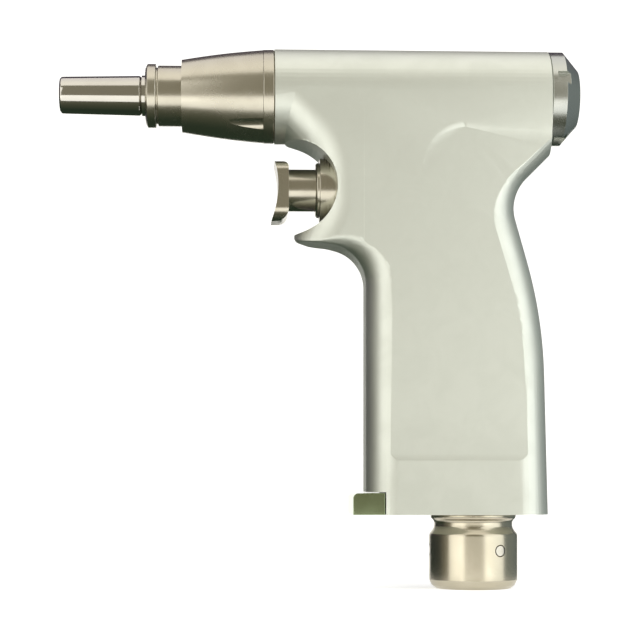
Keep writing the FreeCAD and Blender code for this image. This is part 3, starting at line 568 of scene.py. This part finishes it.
# %% Housing
def merged_copy(name, solid_name, smooth_angle):
    """Copies a solid's mesh, merges its loose triangles and shades it smooth by angle."""
    piece = frame["nodes"][solid_name].copy()
    piece.data = piece.data.copy()
    bpy.context.scene.collection.objects.link(piece)
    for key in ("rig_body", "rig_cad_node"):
        del piece[key]
    piece.parent = None
    piece.name = name
    choose(piece)
    bpy.ops.object.mode_set(mode="EDIT")
    bpy.ops.mesh.select_all(action="SELECT")
    bpy.ops.mesh.remove_doubles(threshold=2 * MERGE_DISTANCE)
    bpy.ops.mesh.tris_convert_to_quads(face_threshold=math.radians(2), shape_threshold=math.radians(180))
    bpy.ops.object.mode_set(mode="OBJECT")
    shade_by_angle(piece, smooth_angle)
    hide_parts(solid_name)
    return piece


housing = merged_copy("drill_housing", "body_housing", 10)
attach(housing, "handpiece")
print("housing faces:", len(housing.data.polygons))

# %% [markdown]
# ## The two return springs
# One spring pushes the collar forward and one pushes the trigger out. Each sits on a fixed seat behind it.
# Here each is a merged copy of its solid, shaded smooth, riding on its body with a mesh of its own.

# %% Springs copied onto their bodies
springs = []
for name, solid_name, body, joint, travel in (
    ("collar_return_spring", "collar_spring", "tool_spindle", "collar_pull", 5),
    ("trigger_return_spring", "trigger_spring", "handpiece", "trigger_press", 6),
):
    spring = merged_copy(name, solid_name, 70)
    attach(spring, body)
    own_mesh(spring)
    springs.append(spring)

# %% [markdown]
# ## Shared effects
# The metals share a few effects, each built once as a node group, so that a change in one reaches every
# finish. Two helpers keep the node trees short: one makes a group with its sockets, and one adds a node
# whose inputs are linked or set by name.

# %% Helpers for node trees
def make_group(name, inputs, outputs):
    group = bpy.data.node_groups.new(name, "ShaderNodeTree")
    for label, kind, value in inputs:
        socket = group.interface.new_socket(label, in_out="INPUT", socket_type=kind)
        if value is not None:
            socket.default_value = value
    for label, kind in outputs:
        group.interface.new_socket(label, in_out="OUTPUT", socket_type=kind)
    return group, group.nodes.new("NodeGroupInput"), group.nodes.new("NodeGroupOutput")


def node(tree, kind, inputs=None, **settings):
    made = tree.nodes.new(kind)
    for name, value in settings.items():
        setattr(made, name, value)
    for name, value in (inputs or {}).items():
        if isinstance(value, bpy.types.NodeSocket):
            tree.links.new(value, made.inputs[name])
        else:
            made.inputs[name].default_value = value
    return made


print("node helpers ready")

# %% [markdown]
# ## Grain and turning lines
# Grain is the dimpled skin that glass beads leave. Turning lines follow the lathe: they are rings round an
# axis, so the pattern is read along the axis and by radius and never round it. Both give a height, which
# each finish scales for itself.

# %% Relief of blasted and turned metal
def blasted_grain():
    group, given, result = make_group(
        "blasted_grain", [("Vector", "NodeSocketVector", None), ("Size", "NodeSocketFloat", 0.3)],
        [("Height", "NodeSocketFloat")],
    )
    scale = node(group, "ShaderNodeMath", {0: 1000.0, 1: given.outputs["Size"]}, operation="DIVIDE")
    fine = node(group, "ShaderNodeTexNoise", {
        "Vector": given.outputs["Vector"], "Scale": scale.outputs[0], "Detail": 3.0, "Roughness": 0.6,
    })
    group.links.new(fine.outputs["Fac"], result.inputs["Height"])
    return group


def turning_lines():
    group, given, result = make_group(
        "turning_lines", [("Vector", "NodeSocketVector", None), ("Spacing", "NodeSocketFloat", 0.12)],
        [("Height", "NodeSocketFloat")],
    )
    parts = node(group, "ShaderNodeSeparateXYZ", {"Vector": given.outputs["Vector"]})
    across = node(group, "ShaderNodeCombineXYZ", {"Y": parts.outputs["Y"], "Z": parts.outputs["Z"]})
    radius = node(group, "ShaderNodeVectorMath", {0: across.outputs[0]}, operation="LENGTH")
    place = node(group, "ShaderNodeCombineXYZ", {"X": parts.outputs["X"], "Y": radius.outputs["Value"]})
    scale = node(group, "ShaderNodeMath", {0: 1000.0, 1: given.outputs["Spacing"]}, operation="DIVIDE")
    lines = node(group, "ShaderNodeTexNoise", {
        "Vector": place.outputs[0], "Scale": scale.outputs[0], "Detail": 2.0, "Roughness": 0.7,
    })
    group.links.new(lines.outputs["Fac"], result.inputs["Height"])
    return group


print("relief groups ready")

# %% [markdown]
# ## Marks and painted edge highlights
# Marks are the soft cloudy traces of hands and washing. Rounded edges get a painted highlight, a lighter base
# colour. They are found by rounding the normal with a Bevel node and seeing how far it turns, and noise makes
# it patchy.

# %% Masks for marks and painted edge highlights
def handling_marks():
    group, given, result = make_group(
        "handling_marks", [("Vector", "NodeSocketVector", None), ("Size", "NodeSocketFloat", 12.0)],
        [("Mask", "NodeSocketFloat")],
    )
    scale = node(group, "ShaderNodeMath", {0: 1000.0, 1: given.outputs["Size"]}, operation="DIVIDE")
    cloud = node(group, "ShaderNodeTexNoise", {
        "Vector": given.outputs["Vector"], "Scale": scale.outputs[0], "Detail": 6.0, "Roughness": 0.55,
        "Distortion": 0.6,
    })
    mask = node(group, "ShaderNodeMapRange", {
        "Value": cloud.outputs["Fac"], "From Min": 0.35, "From Max": 0.7,
    }, interpolation_type="SMOOTHSTEP")
    group.links.new(mask.outputs[0], result.inputs["Mask"])
    return group


# Finds the rounded edges, where the base colour is lightened as a painted highlight.
def painted_edge_highlight():
    group, given, result = make_group(
        "painted_edge_highlight", [("Reach", "NodeSocketFloat", 0.0004), ("Vector", "NodeSocketVector", None)],
        [("Mask", "NodeSocketFloat")],
    )
    rounded = node(group, "ShaderNodeBevel", {"Radius": given.outputs["Reach"]}, samples=4)
    facing = node(group, "ShaderNodeNewGeometry")
    agree = node(group, "ShaderNodeVectorMath", {
        0: rounded.outputs["Normal"], 1: facing.outputs["Normal"],
    }, operation="DOT_PRODUCT")
    turned_away = node(group, "ShaderNodeMapRange", {
        "Value": agree.outputs["Value"], "From Min": 0.995, "From Max": 0.88,
    })
    patchy = node(group, "ShaderNodeTexNoise", {
        "Vector": given.outputs["Vector"], "Scale": 900.0, "Detail": 4.0,
    })
    mask = node(group, "ShaderNodeMath", {
        0: turned_away.outputs[0], 1: patchy.outputs["Fac"],
    }, operation="MULTIPLY")
    group.links.new(mask.outputs[0], result.inputs["Mask"])
    return group


EFFECTS = {
    "grain": blasted_grain(),
    "lines": turning_lines(),
    "marks": handling_marks(),
    "edges": painted_edge_highlight(),
}
print("effect groups:", sorted(EFFECTS))

# %% [markdown]
# ## Metals
# Every metal here is one recipe with its own values: a base colour, a tint in the marks, a roughness that
# wanders between two values, and either blasted grain or turning lines as its relief. A Mapping node moves
# the axis of the turning lines onto the piece, for example up to the barrel or upright for the hose
# connector.

# %% The metal recipe
BARREL_AXIS = ((0, 0, -BARREL_Z), (0, 0, 0))
PLUNGER_AXIS = ((0, 0, -SCOOP_Z), (0, 0, 0))
UPRIGHT_AXIS = ((0, 0, 0), (0, math.radians(90), 0))


def metal(name, base, mark, rough, relief, size, depth, axis=BARREL_AXIS, metallic=1.0):
    """A finish with base and mark colours, a range of roughness, and a relief in millimetres."""
    material = bpy.data.materials.new(name)
    material.use_nodes = True
    tree = material.node_tree
    shader = tree.nodes["Principled BSDF"]
    place = node(tree, "ShaderNodeTexCoord")
    centred = node(tree, "ShaderNodeMapping", {
        "Vector": place.outputs["Object"], "Location": axis[0], "Rotation": axis[1],
    }, vector_type="POINT")
    marks = node(tree, "ShaderNodeGroup", node_tree=EFFECTS["marks"])
    tree.links.new(place.outputs["Object"], marks.inputs["Vector"])
    edges = node(tree, "ShaderNodeGroup", node_tree=EFFECTS["edges"])
    tree.links.new(place.outputs["Object"], edges.inputs["Vector"])
    tinted = node(tree, "ShaderNodeMixRGB", {
        "Fac": marks.outputs["Mask"], "Color1": (*base, 1), "Color2": (*mark, 1),
    })
    # The rounded edges are lightened: a painted highlight in the base colour.
    edge_highlight_colour = tuple(min(1.0, c * 1.15 + 0.05) for c in base)
    highlighted_edges = node(tree, "ShaderNodeMixRGB", {
        "Fac": edges.outputs["Mask"], "Color1": tinted.outputs[0], "Color2": (*edge_highlight_colour, 1),
    })
    roughness = node(tree, "ShaderNodeMapRange", {
        "Value": marks.outputs["Mask"], "To Min": rough[0], "To Max": rough[1],
    })
    pattern = node(tree, "ShaderNodeGroup", node_tree=EFFECTS[relief])
    tree.links.new(centred.outputs["Vector"], pattern.inputs["Vector"])
    pattern.inputs["Size" if relief == "grain" else "Spacing"].default_value = size
    bump = node(tree, "ShaderNodeBump", {
        "Height": pattern.outputs["Height"], "Strength": 1.0, "Distance": depth * MM,
    })
    shader.inputs["Metallic"].default_value = metallic
    tree.links.new(highlighted_edges.outputs[0], shader.inputs["Base Color"])
    tree.links.new(roughness.outputs[0], shader.inputs["Roughness"])
    tree.links.new(bump.outputs["Normal"], shader.inputs["Normal"])
    return material


def wear(piece, material):
    piece.data.materials.clear()
    piece.data.materials.append(material)


print("metal recipe ready")

# %% [markdown]
# ## Finishes of the outer pieces
# Each outer piece has its own values for the recipe. The housing is blasted with glass beads, which hides
# glare and finger marks. The turned pieces keep fine rings from the lathe, the tube is polished brighter
# than the others, and the selector is smooth with a green-grey finish.

# %% Finishes of the outer pieces
satin_housing = metal(
    "bead_blasted_housing", (0.645, 0.665, 0.60), (0.62, 0.64, 0.575), (0.47, 0.51), "grain", 0.16, 0.012,
)
polished_nose = metal(
    "polished_tube", (0.52, 0.50, 0.45), (0.49, 0.47, 0.42), (0.10, 0.15), "lines", 0.2, 0.0008,
)
satin_nose = metal("satin_turned", (0.50, 0.47, 0.39), (0.47, 0.44, 0.36), (0.24, 0.29), "lines", 0.14, 0.001)
cap_metal = metal("satin_cap", (0.47, 0.48, 0.44), (0.43, 0.45, 0.42), (0.24, 0.30), "lines", 0.14, 0.001)
connector_metal = metal(
    "turned_connector", (0.50, 0.46, 0.36), (0.47, 0.43, 0.33), (0.22, 0.27), "lines", 0.2, 0.001,
    UPRIGHT_AXIS,
)
plunger_metal = metal(
    "turned_plunger", (0.50, 0.47, 0.39), (0.47, 0.44, 0.36), (0.2, 0.25), "lines", 0.14, 0.001, PLUNGER_AXIS,
)
selector_metal = metal(
    "milled_selector", (0.34, 0.41, 0.25), (0.32, 0.385, 0.235), (0.07, 0.10), "grain", 0.2, 0.0004,
)
pin_metal = metal(
    "pressed_pins", (0.52, 0.49, 0.42), (0.47, 0.44, 0.37), (0.16, 0.24), "lines", 0.3, 0.001, UPRIGHT_AXIS,
)
outer_finishes = (
    (housing, satin_housing), (coupling_tube, polished_nose), (collar, satin_nose), (nose, satin_nose),
    (ring, satin_nose), (cap, cap_metal), (connector, connector_metal), (finger_plate, plunger_metal),
    (bushing, plunger_metal), (selector, selector_metal), (pins, pin_metal),
)
for piece, material in outer_finishes:
    wear(piece, material)
print("finishes on the outside:", len(outer_finishes))

# %% [markdown]
# ## Finishes inside
# The gears, the motor and the springs don't show in the picture, but they are part of the drill and come
# into view when it is taken apart. Ground steel, oil-soaked bronze, black rubber and the dark composite of
# the motor's vanes each get their own version of the recipe.

# %% Finishes of the inner pieces
ground_steel = metal(
    "ground_steel", (0.50, 0.50, 0.52), (0.44, 0.44, 0.46), (0.25, 0.38), "lines", 0.1, 0.0015,
)
bronze = metal("sintered_bronze", (0.66, 0.48, 0.26), (0.52, 0.37, 0.2), (0.38, 0.52), "grain", 0.25, 0.01)
rubber = metal(
    "black_rubber", (0.03, 0.03, 0.032), (0.05, 0.05, 0.05), (0.55, 0.7), "grain", 0.3, 0.008, metallic=0.0,
)
composite = metal(
    "vane_composite", (0.24, 0.16, 0.09), (0.16, 0.11, 0.07), (0.5, 0.62), "grain", 0.5, 0.01, metallic=0.0,
)
INNER = {
    "bronze": bronze,
    "black_rubber": rubber,
    "vane_composite": composite,
    "polished_steel": polished_nose,
}
slot_of = {part["node"]: part["material_slot"] for part in frame["record"]["subparts"]}
for name, solid in frame["nodes"].items():
    wear(solid, INNER.get(slot_of[name], ground_steel))
for spring in springs:
    wear(spring, ground_steel)
print("solids finished:", len(frame["nodes"]))

# %% [markdown]
# ## The studio
# The drill stands on its connector on a white table top of 80 mm, far in front of a white wall. Metal looks
# like what it mirrors, so the table is kept small, or the undersides would mirror more white than they do
# in the picture. Both are white to the camera and in reflections through their Light Path node, and their
# glow lights no matte face of the drill.

# %% Table and wall
TABLE_SIZE = 0.08
WALL_PLACE = (0.127, 4.0, 0.41)
WALL_SIZE = (3.4, 1.8)
bpy.ops.object.select_all(action="DESELECT")
bpy.ops.mesh.primitive_plane_add(size=1, location=(0.0, 0.005, 0))
table = bpy.context.object
table.name = "mat"
table.scale = (TABLE_SIZE, TABLE_SIZE, 1)
settle(table)
bpy.ops.object.select_all(action="DESELECT")
bpy.ops.mesh.primitive_plane_add(size=1, location=WALL_PLACE, rotation=(math.radians(90), 0, 0))
wall = bpy.context.object
wall.name = "wall"
wall.scale = (*WALL_SIZE, 1)
settle(wall)


def white_surface(name, colour, glow):
    material = bpy.data.materials.new(name)
    material.use_nodes = True
    tree = material.node_tree
    tree.nodes.remove(tree.nodes["Principled BSDF"])
    matte = node(tree, "ShaderNodeBsdfDiffuse", {"Color": (*colour, 1)})
    glowing = node(tree, "ShaderNodeEmission", {"Color": (1, 1, 1, 1), "Strength": glow})
    path = node(tree, "ShaderNodeLightPath")
    seen = node(tree, "ShaderNodeMath", {
        0: path.outputs["Is Camera Ray"], 1: path.outputs["Is Glossy Ray"],
    }, operation="ADD")
    seen = node(tree, "ShaderNodeMath", {
        0: seen.outputs[0], 1: path.outputs["Is Transmission Ray"],
    }, operation="ADD", use_clamp=True)
    dark = node(tree, "ShaderNodeEmission", {"Color": (0, 0, 0, 1), "Strength": 0.0})
    glow_mix = node(tree, "ShaderNodeMixShader", {
        "Fac": seen.outputs[0], 1: dark.outputs[0], 2: glowing.outputs[0],
    })
    both = node(tree, "ShaderNodeAddShader", {0: matte.outputs[0], 1: glow_mix.outputs[0]})
    tree.links.new(both.outputs[0], tree.nodes["Material Output"].inputs["Surface"])
    return material


wear(table, white_surface("white_table", (0.8, 0.8, 0.8), 0.62))
wear(wall, white_surface("white_wall", (0.8, 0.8, 0.8), 1.0))
print("stage ready")

# %% [markdown]
# ## Lamps
# A broad softbox hangs over the drill, two stand at the sides of the camera, and a card below the camera
# shines upwards. Large lamps give metal wide soft highlights, and none of them is in the picture.

# %% Softboxes
def softbox(name, place, target, width, height, power, colour=(1, 1, 1)):
    lamp = bpy.data.lights.new(name, "AREA")
    lamp.shape = "RECTANGLE"
    lamp.size = width
    lamp.size_y = height
    lamp.energy = power
    lamp.color = colour
    holder = bpy.data.objects.new(name, lamp)
    bpy.context.scene.collection.objects.link(holder)
    holder.location = place
    holder.rotation_euler = (Vector(target) - Vector(place)).to_track_quat("-Z", "Y").to_euler()
    holder.visible_camera = False
    return holder


DRILL_MIDDLE = (-0.05, 0, 0.10)
softbox("overhead_softbox", (-0.05, -0.06, 0.8), (-0.05, -0.04, 0.1), 1.3, 0.88, 4.2, (1.0, 0.98, 0.96))
softbox("left_softbox", (-0.50, -0.40, 0.20), DRILL_MIDDLE, 0.52, 0.75, 1.8)
softbox("right_softbox", (0.42, -0.36, 0.20), DRILL_MIDDLE, 0.62, 0.75, 2.3)
softbox("low_card", (-0.05, -0.535, -0.02), (-0.05, -0.525, 0.6), 0.7, 0.73, 2.4)

# %% [markdown]
# ## Room light
# The rest of the room is dimmer, and has its own tones for the metal to mirror: tan in front, dark purple
# behind, grey-blue past the rear cap and dark green below. They are the world's colour, blended by
# direction.

# %% Tones of the room
TAN = (0.345, 0.32, 0.245, 1)
TAN_BELOW = (0.09, 0.10, 0.065, 1)
PURPLE = (0.09, 0.075, 0.10, 1)
GREEN_BELOW = (0.035, 0.055, 0.035, 1)
GREY_BLUE = (0.27, 0.31, 0.31, 1)
GREY_BLUE_BELOW = (0.03, 0.04, 0.03, 1)
world = bpy.data.worlds.new("room")
world.use_nodes = True
room = world.node_tree
towards = node(room, "ShaderNodeTexCoord")
parts = node(room, "ShaderNodeSeparateXYZ", {"Vector": towards.outputs["Generated"]})


def fade(direction, start, end):
    """A mask that grows from nothing to full as the direction's X, Y or Z goes from start to end."""
    return node(room, "ShaderNodeMapRange", {
        "Value": parts.outputs[direction], "From Min": start, "From Max": end,
    })


def blend(mask, first, second):
    return node(room, "ShaderNodeMixRGB", {"Fac": mask.outputs[0], "Color1": first, "Color2": second})


behind = fade("Y", -0.3, 0.3)
aside = fade("X", 0.2, 0.9)
below = fade("Z", -0.3, -0.95)
sunken = fade("Z", 0.1, -0.1)
front_tone = blend(below, TAN, TAN_BELOW)
back_tone = blend(sunken, PURPLE, GREEN_BELOW)
side_tone = blend(below, GREY_BLUE, GREY_BLUE_BELOW)
level_tone = blend(behind, front_tone.outputs[0], back_tone.outputs[0])
tone = blend(aside, level_tone.outputs[0], side_tone.outputs[0])
room.links.new(tone.outputs[0], room.nodes["Background"].inputs["Color"])
bpy.context.scene.world = world
print("room nodes:", len(room.nodes))

# %% [markdown]
# ## The camera
# The picture is taken from about half a metre, level with the foot of the handle, so the connector's
# underside doesn't show. A long lens keeps the sides nearly parallel, and it is shifted up to take in the
# whole drill.

# %% Camera
AIM = Vector((-0.0471, 0, 0.0356))
eye = bpy.data.cameras.new("camera")
eye.lens = 103
eye.sensor_width = 36
camera = bpy.data.objects.new("camera", eye)
bpy.context.scene.collection.objects.link(camera)
camera.location = (-0.0711, -0.5495, 0.0356)
camera.rotation_euler = (AIM - camera.location).to_track_quat("-Z", "Y").to_euler()
eye.shift_x = 0.0047
eye.shift_y = 0.234
bpy.context.scene.camera = camera
bpy.context.scene.view_settings.view_transform = "Standard"
print("camera at", tuple(round(c, 3) for c in camera.location))
